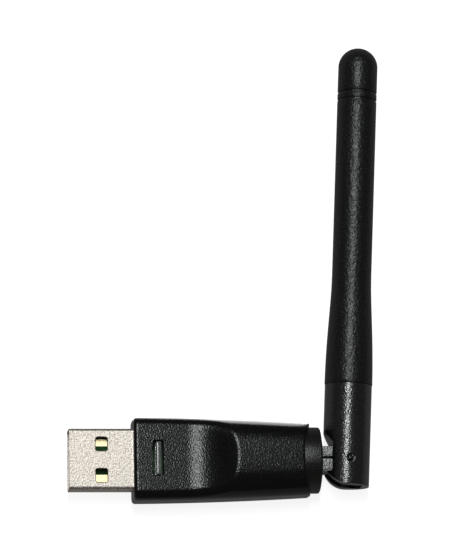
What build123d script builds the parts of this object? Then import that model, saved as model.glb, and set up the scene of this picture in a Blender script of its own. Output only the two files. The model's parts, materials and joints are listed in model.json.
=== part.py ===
from build123d import *
import os
from math import sqrt

# USB wifi adapter with a swivelling, folding rod antenna.
#
# The pieces are drawn in the axis frame, in millimetres: x runs along the case from its plug end
# towards the antenna hinge, y runs along the antenna, and z = 0 is the middle plane of the plug.
# Each piece is written in the row frame: the same directions, with the origin at the centre of
# the flat rest face under the thick end of the case.

# ---- Case ----
CASE_LENGTH = 34.6
CASE_HALF_WIDTH_PLUG_END = 8.19
CASE_HALF_WIDTH_MIDDLE = 7.79
CASE_MIDDLE_X = 18.0
CASE_HALF_WIDTH_HINGE_END = 7.0
THIN_HALF_T = 4.0
THICK_HALF_T = 6.5
RAMP_START_X = 9.75
RAMP_END_X = 19.75
RAMP_RISE = 2.3
RAMP_OVERSHOOT = 1.2
CROWN_R = 24.0
FRONT_FLANK_R = 5.0
BACK_FLANK_R = 4.2
END_BULGE = 1.76
WALL = 1.1
CLAMP_RIB_HALF_WIDTH = 4.0
CLAMP_RIB_SETBACK = 0.4
REST_X = 26.6

# ---- USB plug ----
SHELL_WIDTH = 12.0
SHELL_HEIGHT = 4.5
SHELL_WALL = 0.3
SHELL_CORNER_R = 0.7
SHELL_OUT = 12.5
SHELL_TAIL = 3.2
WINDOW_LENGTH = 2.3
WINDOW_WIDTH = 2.7
WINDOW_FROM_MOUTH = 5.2
WINDOW_Y = 3.1
WINDOW_CORNER_R = 0.45

# ---- Board and its parts ----
BOARD_T = 1.0
TONGUE_HALF_WIDTH = 5.6
TONGUE_SETBACK = 0.5
BOARD_START_X = 3.6
BOARD_END_X = 25.0
BOARD_HALF_WIDTH = 6.2
PAD_T = 0.05
PAD_WIDTH = 1.4
PAD_YS = (-3.5, -1.0, 1.0, 3.5)
OUTER_PAD_LENGTH = 8.6
INNER_PAD_LENGTH = 7.6
PAD_SETBACK = 0.4
POST_R = 0.9
POST_XS = (8.0, 21.5)
POST_Y = 4.9
CHIP_PLACE = (12.0, 0.8)
CHIP_SIZE = (5.0, 5.0, 0.85)
CHIP_MARK_CHAMFER = 0.4
CRYSTAL_PLACE = (17.6, -2.6)
CRYSTAL_SIZE = (3.2, 2.5, 0.7)
CRYSTAL_CORNER_R = 0.3
REGULATOR_PLACE = (7.6, -2.2)
REGULATOR_SIZE = (1.6, 2.9, 1.0)
CAPACITOR_SIZE = (1.0, 0.5, 0.5)
CAPACITORS_NEAR_PLUG = [(6.4, 3.6), (8.6, 2.2), (9.6, -4.6)]
CAPACITORS_NEAR_CHIP = [(12.0, 4.6), (15.6, 3.4), (17.4, 1.2), (19.6, 2.6)]
RESISTOR_SIZE = (1.0, 0.5, 0.35)
RESISTOR_PLACES = [(6.4, 2.4), (12.0, -3.2), (14.2, -3.2), (18.2, 4.6), (20.4, -1.8)]
SOLDER_PLACE = (20.9, 0)
SOLDER_SIZE = (1.6, 1.2, 0.55)

# ---- Indicator ----
SLOT_X = 4.7
SLOT_LENGTH = 1.95
SLOT_WIDTH = 6.8
SLOT_CORNER_R = 0.3
PIPE_GAP = 0.1
PIPE_CORNER_R = 0.25
PIPE_TOP_EDGE_R = 0.35
PIPE_TOP_Z = 3.85
PIPE_BOTTOM_Z = 1.0
PIPE_FLANGE_T = 0.6
PIPE_FLANGE_EDGE = 0.5
LED_SIZE = (0.8, 1.6, 0.6)

# ---- Swivel ----
BULKHEAD_START_X = 31.2
BULKHEAD_END_X = 32.9
NECK_R = 3.5
NECK_CLEARANCE = 0.06
FLANGE_R = 4.6
FLANGE_START_X = 29.8
FLANGE_END_X = 30.85
WASHER_T = 0.25
WASHER_INSET = 0.2
COLLAR_R = 6.42
COLLAR_CLEARANCE = 0.08
COLLAR_GAP = 0.05
COLLAR_RIM_X = 36.4
COLLAR_DOME = 0.68
COLLAR_DOME_MID = 0.55
COLLAR_EDGE_R = 0.25
COLLAR_CORE_R = 2.1
SOCKET_START_X = 33.4

# ---- Hinge ----
PIN_X = 42.18
PIN_R = 0.75
PIN_CLEARANCE = 0.05
PIN_HALF_LENGTH = 4.15
PIN_CHAMFER = 0.15
PIN_RECESS_R = 0.95
TONGUE_R = 2.57
TONGUE_HALF_T = 2.15
TONGUE_SPLIT_Y = 0.35
TONGUE_SPLIT_GAP = 0.24

# ---- Coax; its bends are in the case, and in the collar's neck ----
COAX_R = 0.405
COAX_BOARD_XS = (21.7, 25.2)
COAX_DROP_END_X = 28.0
COAX_BODY_BEND_R = 6.0
COAX_NECK_XS = (30.5, 33.0)
COAX_NECK_BEND_R = 1.4
COAX_TONGUE_Y = -1.5
COAX_CHANNEL_GAP = 0.1
COAX_KNUCKLE_END_X = PIN_X + 1.6

# ---- Antenna; heights are measured from the pin along the antenna ----
LEAN = 2.8
SLEEVE_R = 4.55
SLEEVE_OFFSET = -0.36
SLEEVE_BOTTOM = -5.1
SLEEVE_TOP = 14.8
SLOT_HALF_T = 2.25
SLOT_CLEAR_R = 2.72
CHEEK_EDGE_X = -3.4
CHEEK_EDGE_TOP = 3.0
CHEEK_EDGE_BOTTOM = -2.5
NOTCH_TOP = 5.2
SPIGOT_R = 3.1
SPIGOT_TOP = 23.0
CORE_R = 1.2
SHEATH_SEAM_R = 4.64
SHEATH_R = 3.8
SHEATH_FLARE_LOW = (SHEATH_SEAM_R - 0.04, 25.2)
SHEATH_FLARE_HIGH = (SHEATH_R, 30.5)
SHEATH_FLARE_TOP = 37.0
SHEATH_TOP = 82.2
SHEATH_BORE_R = 2.6
GROOVE_HEIGHTS = (71.6, 73.1)
GROOVE_WIDTH = 0.35
GROOVE_DEPTH = 0.25

# ---- Aerial inside the sheath ----
COAX_SLOT_GAP = 0.1
CHOKE_R = 2.0
CHOKE_BORE_R = 1.7
CHOKE_BOTTOM = 25.0
CHOKE_TOP = 51.0
CHOKE_END_T = 0.4
RADIATOR_R = 0.3
RADIATOR_TOP = 76.0
SHRINK_R = 2.2
SHRINK_BOTTOM = 48.0
SHRINK_TOP = 54.0

# Cutting shapes reach FAR past the piece that they cut, or OVER where that is enough.
FAR = 60.0
OVER = 1.0
ROW = Pos(-REST_X, 0, THICK_HALF_T)


def box_between(low, high):
    """An axis-aligned box from its low corner to its high corner."""
    size = [b - a for a, b in zip(low, high)]
    middle = [(a + b) / 2 for a, b in zip(low, high)]
    return Pos(*middle) * Box(*size)


def rod(radius, start, end, along=Axis.X, y=0, z=0):
    """A round rod along X at (y, z), or along Y or Z through the frame's origin."""
    middle = (start + end) / 2
    round_bar = Cylinder(radius, end - start)
    if along == Axis.X:
        return Pos(middle, y, z) * Rot(0, 90, 0) * round_bar
    if along == Axis.Y:
        return Pos(0, middle, 0) * Rot(90, 0, 0) * round_bar
    return Pos(0, 0, middle) * round_bar


def upright(antenna_piece):
    """Moves a piece from the antenna's own frame, with the pin at its origin, to the case's."""
    return Pos(PIN_X, 0, 0) * Rot(0, 0, -LEAN) * antenna_piece


# ---- Case ----


def case_block(inset, start_x, end_x):
    """The case's plan outline at full thickness, with both pairs of long edges rounded."""
    half_t = THICK_HALF_T - inset
    plug_y = CASE_HALF_WIDTH_PLUG_END - inset
    middle_y = CASE_HALF_WIDTH_MIDDLE - inset
    hinge_y = CASE_HALF_WIDTH_HINGE_END - inset
    left_side = ThreePointArc((0, plug_y), (CASE_MIDDLE_X, middle_y), (CASE_LENGTH, hinge_y))
    right_side = ThreePointArc((CASE_LENGTH, -hinge_y), (CASE_MIDDLE_X, -middle_y), (0, -plug_y))
    outline = left_side + Line(left_side @ 1, right_side @ 0) + right_side
    outline += Line(right_side @ 1, left_side @ 0)
    block = Pos(0, 0, -half_t) * extrude(make_face(outline), amount=2 * half_t)
    long_edges = block.edges().filter_by(GeomType.CIRCLE)
    block = fillet(long_edges.group_by(Axis.Z)[-1], FRONT_FLANK_R - inset)
    long_edges = block.edges().filter_by(GeomType.CIRCLE)
    low_edges = [e for e in long_edges if abs(e.center().Z + half_t) < 0.01]
    block = fillet(low_edges, BACK_FLANK_R - inset)
    return block & box_between((start_x, -FAR, -FAR), (end_x, FAR, FAR))


def ramp_arc(side, inset):
    """The concave ramp from the thin end up past the thick end's face; side is +1 or -1."""
    radius = ((RAMP_END_X - RAMP_START_X) ** 2 + RAMP_RISE**2) / (2 * RAMP_RISE)
    overshoot_x = RAMP_END_X + RAMP_OVERSHOOT
    start = (RAMP_START_X, side * (THIN_HALF_T - inset))
    points = [start]
    for x in ((RAMP_START_X + overshoot_x) / 2, overshoot_x):
        rise = radius - sqrt(radius**2 - (x - RAMP_START_X) ** 2)
        points.append((x, side * (THIN_HALF_T - inset + rise)))
    return ThreePointArc(*points)


def side_profile(inset):
    """The case seen from the side: thin end, ramps, thick end and bulging hinge end."""
    top_ramp = ramp_arc(1, inset)
    low_ramp = ramp_arc(-1, inset)
    end_z = (top_ramp @ 1).Y
    bulge_r = (THICK_HALF_T**2 + END_BULGE**2) / (2 * END_BULGE)
    corner_x = CASE_LENGTH - bulge_r + sqrt(bulge_r**2 - end_z**2)
    start = Vector(0, THIN_HALF_T - inset)
    low_start = Vector(0, -THIN_HALF_T + inset)
    outline = Line(start, top_ramp @ 0) + top_ramp
    outline += Line(top_ramp @ 1, (corner_x, end_z))
    outline += ThreePointArc((corner_x, end_z), (CASE_LENGTH, 0), (corner_x, -end_z))
    outline += Line((corner_x, -end_z), low_ramp @ 1) + low_ramp
    outline += Line(low_ramp @ 0, low_start) + Line(low_start, start)
    return extrude(Plane.XZ * make_face(outline), amount=FAR, both=True)


def case_form():
    """The outer solid of the closed case, with a crowned front face and a flat back."""
    form = case_block(0, 0, CASE_LENGTH) & side_profile(0)
    crown = rod(CROWN_R, -OVER, FAR, z=THICK_HALF_T - CROWN_R)
    crown += box_between((-OVER, -FAR, -FAR), (FAR, FAR, 0))
    return form & crown


def case_cavity():
    """The space inside the case, up to the swivel's bulkhead."""
    cavity = case_block(WALL, WALL, BULKHEAD_START_X) & side_profile(WALL)
    return cavity & rod(CROWN_R - WALL, -OVER, FAR, z=THICK_HALF_T - CROWN_R)


def swivel_bores():
    """The bulkhead's bore and the wider seat for the collar."""
    bore = rod(NECK_R + NECK_CLEARANCE, BULKHEAD_START_X - OVER, BULKHEAD_END_X + OVER)
    return bore + rod(COLLAR_R + COLLAR_CLEARANCE, BULKHEAD_END_X, FAR)


def hollow_case():
    """The case's walls and bulkhead, open for the plug and for the swivel."""
    half_width = SHELL_WIDTH / 2
    half_height = SHELL_HEIGHT / 2
    plug_opening = box_between(
        (-OVER, -half_width, -half_height), (WALL + OVER, half_width, half_height)
    )
    return case_form() - case_cavity() - swivel_bores() - plug_opening


def clamp_rib(side):
    """A rib that holds the plug shell's tail; side is +1 in the front cover, -1 in the back."""
    z = sorted((side * SHELL_HEIGHT / 2, side * (THIN_HALF_T - WALL / 2)))
    low = (WALL / 2, -CLAMP_RIB_HALF_WIDTH, z[0])
    return box_between(low, (SHELL_TAIL - CLAMP_RIB_SETBACK, CLAMP_RIB_HALF_WIDTH, z[1]))


def board_posts(side):
    """Posts from the cover to the board, above it in the front cover and below it in the back."""
    face_z = 0 if side > 0 else BOARD_T
    posts = Part()
    for x in POST_XS:
        for y in (-POST_Y, POST_Y):
            z = sorted((side * face_z, side * THICK_HALF_T))
            posts += Pos(x, y, sum(z) / 2) * Cylinder(POST_R, z[1] - z[0])
    return posts


def cover(side):
    """One half of the case with its rib and posts."""
    z = sorted((0, side * FAR))
    half_space = box_between((-FAR, -FAR, z[0]), (FAR, FAR, z[1]))
    inner = (clamp_rib(side) + board_posts(side)) & case_form()
    return (hollow_case() + inner) & half_space


def light_slot():
    """The indicator's opening, cut upwards from the middle plane."""
    slot = RectangleRounded(SLOT_LENGTH, SLOT_WIDTH, SLOT_CORNER_R)
    return Pos(SLOT_X, 0, 0) * extrude(slot, amount=FAR)


def make_front_cover():
    return cover(1) - light_slot()


def make_back_cover():
    return cover(-1)


# ---- Plug ----


def shell_section(inset):
    """The plug shell's rounded section, moved in by inset."""
    width = SHELL_WIDTH - 2 * inset
    height = SHELL_HEIGHT - 2 * inset
    return Plane.YZ * RectangleRounded(width, height, SHELL_CORNER_R - inset)


def make_plug_shell():
    outer = Pos(-SHELL_OUT, 0, 0) * extrude(shell_section(0), amount=SHELL_OUT + SHELL_TAIL)
    inner = Pos(-SHELL_OUT - OVER, 0, 0) * extrude(
        shell_section(SHELL_WALL), amount=SHELL_OUT + SHELL_TAIL + 2 * OVER
    )
    shell = outer - inner
    window = extrude(
        RectangleRounded(WINDOW_LENGTH, WINDOW_WIDTH, WINDOW_CORNER_R), amount=FAR, both=True
    )
    window_x = -SHELL_OUT + WINDOW_FROM_MOUTH + WINDOW_LENGTH / 2
    for y in (-WINDOW_Y, WINDOW_Y):
        shell -= Pos(window_x, y, 0) * window
    return shell


def make_plug_spacer():
    """The moulded tray that holds the board's tongue up in the plug shell."""
    half_width = TONGUE_HALF_WIDTH
    floor_z = -SHELL_HEIGHT / 2 + SHELL_WALL
    tray = box_between(
        (-SHELL_OUT + TONGUE_SETBACK, -half_width, floor_z), (SHELL_TAIL, half_width, -BOARD_T)
    )
    low_edges = tray.edges().filter_by(Axis.X).group_by(Axis.Z)[0]
    return fillet(low_edges, SHELL_CORNER_R - SHELL_WALL)


def make_main_board():
    tongue = box_between(
        (-SHELL_OUT + TONGUE_SETBACK, -TONGUE_HALF_WIDTH, -BOARD_T),
        (BOARD_START_X, TONGUE_HALF_WIDTH, 0),
    )
    main = box_between(
        (BOARD_START_X, -BOARD_HALF_WIDTH, -BOARD_T), (BOARD_END_X, BOARD_HALF_WIDTH, 0)
    )
    return tongue + main


def make_contact_pads():
    """Four gold pads: the outer two, for power, reach nearer to the plug's mouth."""
    pads = []
    end_x = -SHELL_OUT + TONGUE_SETBACK + PAD_SETBACK + OUTER_PAD_LENGTH
    for y in PAD_YS:
        length = OUTER_PAD_LENGTH if y in (PAD_YS[0], PAD_YS[-1]) else INNER_PAD_LENGTH
        low = (end_x - length, y - PAD_WIDTH / 2, 0)
        pads.append(box_between(low, (end_x, y + PAD_WIDTH / 2, PAD_T)))
    return Compound(pads)


# ---- Parts on the board ----


def board_chip(place, size):
    """A flat part that stands on the board's upper face."""
    return Pos(*place, size[2] / 2) * Box(*size)


def make_light_pipe():
    """The clear bar in the slot, with a flange that seats behind the front cover."""
    bar = RectangleRounded(
        SLOT_LENGTH - 2 * PIPE_GAP, SLOT_WIDTH - 2 * PIPE_GAP, PIPE_CORNER_R
    )
    pipe = Pos(SLOT_X, 0, PIPE_BOTTOM_Z) * extrude(bar, amount=PIPE_TOP_Z - PIPE_BOTTOM_Z)
    pipe = fillet(pipe.faces().sort_by(Axis.Z)[-1].edges(), PIPE_TOP_EDGE_R)
    inner_face_z = THIN_HALF_T - WALL
    edge = 2 * PIPE_FLANGE_EDGE
    flange = Box(SLOT_LENGTH + edge, SLOT_WIDTH + edge, PIPE_FLANGE_T)
    return pipe + Pos(SLOT_X, 0, inner_face_z - PIPE_FLANGE_T / 2) * flange


def make_status_led():
    return board_chip((SLOT_X, 0), LED_SIZE)


def make_wifi_chip():
    """The square chip, with a chamfered corner that marks its first lead."""
    package = board_chip(CHIP_PLACE, CHIP_SIZE)
    return chamfer(package.edges().filter_by(Axis.Z).sort_by(Axis.X)[0], CHIP_MARK_CHAMFER)


def make_crystal():
    can = board_chip(CRYSTAL_PLACE, CRYSTAL_SIZE)
    return fillet(can.edges().filter_by(Axis.Z), CRYSTAL_CORNER_R)


def make_regulator():
    return board_chip(REGULATOR_PLACE, REGULATOR_SIZE)


def small_parts(places, size):
    """Equal parts on the board, as one piece."""
    return Compound([board_chip(place, size) for place in places])


def make_capacitors():
    return small_parts(CAPACITORS_NEAR_PLUG + CAPACITORS_NEAR_CHIP, CAPACITOR_SIZE)


def make_resistors():
    return small_parts(RESISTOR_PLACES, RESISTOR_SIZE)


def make_coax_solder():
    """The solder over the coax's bared end on the board."""
    return board_chip(SOLDER_PLACE, SOLDER_SIZE)


def coax_along(points, radius):
    """A coax tube along straight runs joined by tangent arcs."""
    path = FilletPolyline(*points, radius=radius)
    section = Plane(origin=path @ 0, z_dir=path % 0) * Circle(COAX_R)
    return sweep(section, path=path)


def make_coax_body():
    """The coax from the board to the swivel, dropping from the board's face to the long axis."""
    points = [(x, 0, COAX_R) for x in COAX_BOARD_XS]
    points += [(COAX_DROP_END_X, 0, 0), (FLANGE_START_X - COLLAR_GAP, 0, 0)]
    return coax_along(points, COAX_BODY_BEND_R)


# ---- Swivel ----


def make_swivel_collar():
    """A domed disc on a neck, with a flange that the case's bulkhead keeps in."""
    face_x = COLLAR_RIM_X + COLLAR_DOME
    disc_x = BULKHEAD_END_X + COLLAR_GAP
    dome_r = (COLLAR_R**2 + COLLAR_DOME**2) / (2 * COLLAR_DOME)
    dome_mid_y = COLLAR_R * COLLAR_DOME_MID
    dome_mid_x = face_x - dome_r + sqrt(dome_r**2 - dome_mid_y**2)
    half = Polyline(
        (face_x, 0),
        (FLANGE_START_X, 0),
        (FLANGE_START_X, FLANGE_R),
        (FLANGE_END_X, FLANGE_R),
        (FLANGE_END_X, NECK_R),
        (disc_x, NECK_R),
        (disc_x, COLLAR_R),
        (COLLAR_RIM_X, COLLAR_R),
    )
    half += ThreePointArc((COLLAR_RIM_X, COLLAR_R), (dome_mid_x, dome_mid_y), (face_x, 0))
    collar = revolve(make_face(half), axis=Axis.X)
    circles = collar.edges().filter_by(GeomType.CIRCLE)
    rim = [e for e in circles if abs(e.center().X - COLLAR_RIM_X) < 0.01]
    collar = fillet(rim, COLLAR_EDGE_R)
    socket = box_between(
        (SOCKET_START_X, -TONGUE_R, -TONGUE_HALF_T), (FAR, TONGUE_R, TONGUE_HALF_T)
    )
    return collar - socket - rod(COLLAR_CORE_R, 0, FAR)


def make_friction_washer():
    """The washer between the collar's flange and the bulkhead; it stays with the case."""
    start_x = BULKHEAD_START_X - WASHER_T
    washer = rod(FLANGE_R - WASHER_INSET, start_x, BULKHEAD_START_X)
    return washer - rod(NECK_R + NECK_CLEARANCE, start_x - OVER, BULKHEAD_START_X + OVER)


def hinge_tongue():
    """The whole tongue, from the collar's socket to its round end about the pin."""
    bar = box_between((SOCKET_START_X, -TONGUE_R, -TONGUE_HALF_T), (PIN_X, TONGUE_R, TONGUE_HALF_T))
    bar += Pos(PIN_X, 0, 0) * Cylinder(TONGUE_R, 2 * TONGUE_HALF_T)
    bar -= Pos(PIN_X, 0, 0) * Cylinder(PIN_R + PIN_CLEARANCE, FAR)
    return bar - rod(COAX_R + COAX_CHANNEL_GAP, 0, FAR, y=COAX_TONGUE_Y)


def make_tongue_half(side):
    """The tongue on one side of its split; side is +1 above it, -1 below it."""
    edge_y = TONGUE_SPLIT_Y + side * TONGUE_SPLIT_GAP / 2
    y = sorted((edge_y, side * FAR))
    return hinge_tongue() & box_between((0, y[0], -FAR), (FAR, y[1], FAR))


def make_coax_knuckle():
    """The coax through the collar's neck and along the tongue's channel, past the pin."""
    bend_start_x, bend_end_x = COAX_NECK_XS
    points = [
        (FLANGE_START_X, 0, 0),
        (bend_start_x, 0, 0),
        (bend_end_x, COAX_TONGUE_Y, 0),
        (COAX_KNUCKLE_END_X, COAX_TONGUE_Y, 0),
    ]
    return coax_along(points, COAX_NECK_BEND_R)


# ---- Antenna; drawn with the pin at the origin and the antenna along +Y ----


def sleeve_slot():
    """The space that the tongue sweeps, open to the left and the bottom."""
    slot = RectangleRounded(2 * SLOT_CLEAR_R, 2 * SLOT_CLEAR_R, SLOT_CLEAR_R - 0.01)
    swept = extrude(slot, amount=SLOT_HALF_T, both=True)
    swept += box_between((-FAR, -FAR, -SLOT_HALF_T), (0, SLOT_CLEAR_R, SLOT_HALF_T))
    return swept + box_between((-FAR, -FAR, -SLOT_HALF_T), (SLOT_CLEAR_R, 0, SLOT_HALF_T))


def cheek_relief():
    """The notch in both cheeks on the collar's side, with a slanted upper edge."""
    left = SLEEVE_OFFSET - SLEEVE_R
    outline = Polyline(
        (CHEEK_EDGE_X, CHEEK_EDGE_TOP),
        (left, NOTCH_TOP),
        (left - OVER, NOTCH_TOP),
        (left - OVER, CHEEK_EDGE_BOTTOM),
        (CHEEK_EDGE_X, CHEEK_EDGE_BOTTOM),
        close=True,
    )
    return extrude(make_face(outline), amount=FAR, both=True)


def make_antenna_sleeve():
    """The barrel, its foot turned round about the pin, and the spigot for the sheath."""
    barrel = Pos(SLEEVE_OFFSET, 0, 0) * rod(SLEEVE_R, SLEEVE_BOTTOM, SLEEVE_TOP, Axis.Y)
    turning_circle = Cylinder(-SLEEVE_BOTTOM, FAR)
    turning_circle += box_between((-FAR, 0, -FAR), (FAR, FAR, FAR))
    turning_circle += box_between((0, -FAR, -FAR), (FAR, FAR, FAR))
    sleeve = barrel & turning_circle
    sleeve += Pos(SLEEVE_OFFSET, 0, 0) * rod(SPIGOT_R, SLEEVE_TOP, SPIGOT_TOP, Axis.Y)
    sleeve -= sleeve_slot() + cheek_relief()
    sleeve -= Pos(SLEEVE_OFFSET, 0, 0) * rod(CORE_R, 0, FAR, Axis.Y)
    sleeve -= Cylinder(PIN_R, FAR)
    for z in (PIN_HALF_LENGTH, -PIN_HALF_LENGTH - FAR):
        sleeve -= Pos(0, 0, z + FAR / 2) * Cylinder(PIN_RECESS_R, FAR)
    return upright(sleeve)


def make_hinge_pin():
    pin = Cylinder(PIN_R, 2 * PIN_HALF_LENGTH)
    ends = pin.edges().filter_by(GeomType.CIRCLE)
    return upright(chamfer(ends, PIN_CHAMFER))


def sheath_outline():
    """Half of the sheath's section: flared foot, slim rod and round tip."""
    flare = Bezier(
        (SHEATH_SEAM_R, SLEEVE_TOP),
        SHEATH_FLARE_LOW,
        SHEATH_FLARE_HIGH,
        (SHEATH_R, SHEATH_FLARE_TOP),
    )
    dome_base = SHEATH_TOP - SHEATH_R
    dome_mid = (SHEATH_R * sqrt(0.5), dome_base + SHEATH_R * sqrt(0.5))
    outline = flare + Line((SHEATH_R, SHEATH_FLARE_TOP), (SHEATH_R, dome_base))
    outline += ThreePointArc((SHEATH_R, dome_base), dome_mid, (0, SHEATH_TOP))
    outline += Line((0, SHEATH_TOP), (0, SLEEVE_TOP))
    return outline + Line((0, SLEEVE_TOP), (SHEATH_SEAM_R, SLEEVE_TOP))


def make_antenna_sheath():
    """The soft sheath: two grooves near its tip, a socket for the spigot and a bore."""
    sheath = revolve(make_face(sheath_outline()), axis=Axis.Y)
    for height in GROOVE_HEIGHTS:
        low = height - GROOVE_WIDTH / 2
        high = height + GROOVE_WIDTH / 2
        ring = rod(SHEATH_R + OVER, low, high, Axis.Y)
        sheath -= ring - rod(SHEATH_R - GROOVE_DEPTH, low - OVER, high + OVER, Axis.Y)
    sheath -= rod(SPIGOT_R, SLEEVE_TOP - OVER, SPIGOT_TOP, Axis.Y)
    sheath -= rod(SHEATH_BORE_R, SPIGOT_TOP - OVER, SHEATH_TOP - SHEATH_R, Axis.Y)
    return upright(Pos(SLEEVE_OFFSET, 0, 0) * sheath)


def antenna_rod(radius, bottom, top):
    """A round rod on the antenna's centre line."""
    return upright(Pos(SLEEVE_OFFSET, 0, 0) * rod(radius, bottom, top, Axis.Y))


def make_coax_antenna():
    return antenna_rod(COAX_R, SLOT_CLEAR_R + COAX_SLOT_GAP, CHOKE_TOP)


def make_choke_tube():
    """A tube round the coax, closed at its upper end."""
    tube = antenna_rod(CHOKE_R, CHOKE_BOTTOM, CHOKE_TOP)
    tube -= antenna_rod(CHOKE_BORE_R, CHOKE_BOTTOM - OVER, CHOKE_TOP - CHOKE_END_T)
    return tube - antenna_rod(COAX_R, CHOKE_BOTTOM, FAR)


def make_radiator_wire():
    return antenna_rod(RADIATOR_R, CHOKE_TOP, RADIATOR_TOP)


def make_heat_shrink():
    shrink = antenna_rod(SHRINK_R, SHRINK_BOTTOM, SHRINK_TOP)
    return shrink - antenna_rod(CHOKE_R, 0, CHOKE_TOP) - antenna_rod(RADIATOR_R, 0, FAR)


PIECES = {
    "front_cover": make_front_cover(),
    "back_cover": make_back_cover(),
    "plug_shell": make_plug_shell(),
    "plug_spacer": make_plug_spacer(),
    "main_board": make_main_board(),
    "contact_pads": make_contact_pads(),
    "light_pipe": make_light_pipe(),
    "status_led": make_status_led(),
    "wifi_chip": make_wifi_chip(),
    "crystal": make_crystal(),
    "regulator": make_regulator(),
    "capacitors": make_capacitors(),
    "resistors": make_resistors(),
    "coax_solder": make_coax_solder(),
    "coax_body": make_coax_body(),
    "friction_washer": make_friction_washer(),
    "swivel_collar": make_swivel_collar(),
    "tongue_half_left": make_tongue_half(1),
    "tongue_half_right": make_tongue_half(-1),
    "coax_knuckle": make_coax_knuckle(),
    "antenna_sleeve": make_antenna_sleeve(),
    "hinge_pin": make_hinge_pin(),
    "antenna_sheath": make_antenna_sheath(),
    "coax_antenna": make_coax_antenna(),
    "choke_tube": make_choke_tube(),
    "radiator_wire": make_radiator_wire(),
    "heat_shrink": make_heat_shrink(),
}

os.makedirs("parts", exist_ok=True)
for name, piece in PIECES.items():
    export_step(ROW * piece, f"parts/{name}.step")
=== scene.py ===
"""Looks for the usb wifi adapter: detailed outer pieces, procedural materials, stage and camera."""

import json
from math import atan2, cos, pi, radians, sin, sqrt, tan

import bmesh
import bpy
import numpy as np
from mathutils import Matrix, Vector


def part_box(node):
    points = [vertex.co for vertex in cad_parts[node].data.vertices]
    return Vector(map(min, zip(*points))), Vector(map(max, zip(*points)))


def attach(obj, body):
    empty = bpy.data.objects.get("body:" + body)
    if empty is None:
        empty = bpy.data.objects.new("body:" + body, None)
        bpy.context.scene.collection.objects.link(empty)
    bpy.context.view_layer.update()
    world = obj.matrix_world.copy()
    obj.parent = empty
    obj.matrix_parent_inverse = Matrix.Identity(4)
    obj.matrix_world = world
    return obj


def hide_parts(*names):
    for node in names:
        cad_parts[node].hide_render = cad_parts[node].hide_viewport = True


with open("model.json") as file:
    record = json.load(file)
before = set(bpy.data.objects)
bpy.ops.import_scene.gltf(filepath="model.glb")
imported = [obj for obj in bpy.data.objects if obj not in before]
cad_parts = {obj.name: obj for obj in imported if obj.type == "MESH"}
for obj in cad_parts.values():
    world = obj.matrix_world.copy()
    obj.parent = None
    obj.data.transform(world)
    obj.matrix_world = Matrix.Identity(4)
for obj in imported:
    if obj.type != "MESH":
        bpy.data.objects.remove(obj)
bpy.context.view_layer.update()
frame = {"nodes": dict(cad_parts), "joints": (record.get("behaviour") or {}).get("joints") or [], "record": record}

MM = 0.001
JOINTS = {joint["name"]: joint for joint in frame["joints"]}
PIN = Vector(JOINTS["fold"]["pos_m"])
LEAN = radians(JOINTS["fold"]["range_deg"][1])
CASE_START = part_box("front_cover")[0].x

# The case frame: millimetres, with x from the case's plug end and z from the long axis.
CASE = Matrix.Translation((CASE_START, 0, PIN.z)) @ Matrix.Scale(MM, 4)
# The antenna frame: millimetres from the hinge pin, with y along the antenna.
ANTENNA = Matrix.Translation(PIN) @ Matrix.Rotation(-LEAN, 4, "Z") @ Matrix.Scale(MM, 4)


# ---- Mesh helpers; every length is in millimetres ----

ARC_STEPS = 24
BEVEL_STEPS = 3
TINY = 1e-7


def new_piece(name, points, faces, place, smooth_angle=35):
    """A mesh object from points in a millimetre frame, with its sharp edges marked by angle."""
    mesh = bpy.data.meshes.new(name)
    mesh.from_pydata([tuple(place @ Vector(p)) for p in points], [], faces)
    clean_up(mesh)
    piece = bpy.data.objects.new(name, mesh)
    bpy.context.scene.collection.objects.link(piece)
    shade(mesh, smooth_angle)
    return piece


def clean_up(mesh):
    """Merges coincident points, drops empty faces and turns every face outwards."""
    work = bmesh.new()
    work.from_mesh(mesh)
    bmesh.ops.remove_doubles(work, verts=work.verts, dist=TINY)
    bmesh.ops.dissolve_degenerate(work, edges=work.edges, dist=TINY)
    bmesh.ops.recalc_face_normals(work, faces=work.faces)
    work.to_mesh(mesh)
    work.free()


def shade(mesh, smooth_angle):
    """Smooth shading, broken at every edge sharper than the angle."""
    mesh.polygons.foreach_set("use_smooth", [True] * len(mesh.polygons))
    mesh.set_sharp_from_angle(angle=radians(smooth_angle))
    mesh.update()


def apply_modifiers(piece):
    """Replaces the piece's mesh with the result of its modifiers."""
    bpy.context.view_layer.update()
    graph = bpy.context.evaluated_depsgraph_get()
    mesh = bpy.data.meshes.new_from_object(piece.evaluated_get(graph))
    piece.modifiers.clear()
    piece.data = mesh


def flatten_broad_faces(piece):
    """Makes shading follow a piece's broad faces, so that small rounded edges don't tint them."""
    modifier = piece.modifiers.new("weighted", "WEIGHTED_NORMAL")
    modifier.mode = "FACE_AREA"
    modifier.weight = 100
    modifier.keep_sharp = True
    apply_modifiers(piece)


def cut(piece, cutters, smooth_angle=35):
    """Cuts every cutter out of the piece and removes the cutters."""
    for cutter in cutters:
        modifier = piece.modifiers.new("cut", "BOOLEAN")
        modifier.operation = "DIFFERENCE"
        modifier.solver = "EXACT"
        modifier.object = cutter
    apply_modifiers(piece)
    shade(piece.data, smooth_angle)
    for cutter in cutters:
        bpy.data.objects.remove(cutter)


def round_edges(piece, width, angle):
    """Rounds the piece's edges that are sharper than an angle."""
    modifier = piece.modifiers.new("round_edges", "BEVEL")
    modifier.width = width * MM
    modifier.segments = BEVEL_STEPS
    modifier.limit_method = "ANGLE"
    modifier.angle_limit = radians(angle)
    modifier.use_clamp_overlap = True
    apply_modifiers(piece)
    shade(piece.data, smooth_angle=50)


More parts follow.
